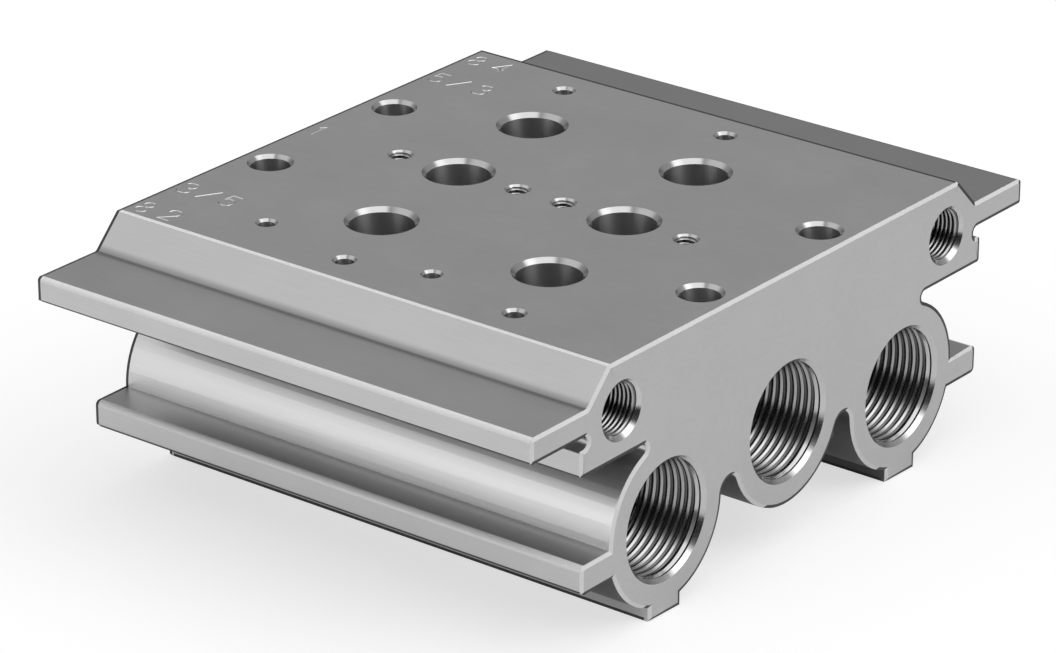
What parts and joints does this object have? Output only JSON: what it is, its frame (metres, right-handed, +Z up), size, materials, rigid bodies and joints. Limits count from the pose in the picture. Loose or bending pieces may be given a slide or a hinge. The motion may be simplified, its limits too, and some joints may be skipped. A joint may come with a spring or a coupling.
{
  "type": "valve manifold block",
  "caption": "Extruded aluminium manifold block with threaded end ports, round channels, side flanges and a drilled flat deck for valves.",
  "frame": {"origin": "centre of the footprint, on the plane of the feet", "axes": "+Z up out of the flat deck, X along the extrusion and its channels, Y across the section through the flanges"},
  "size_m": [0.106, 0.1398, 0.0502],
  "materials": {
    "aluminium": "brushed, machined"
  },
  "bodies": {
    "root": {"manifold_block": "aluminium"}
  },
  "joints": []
}
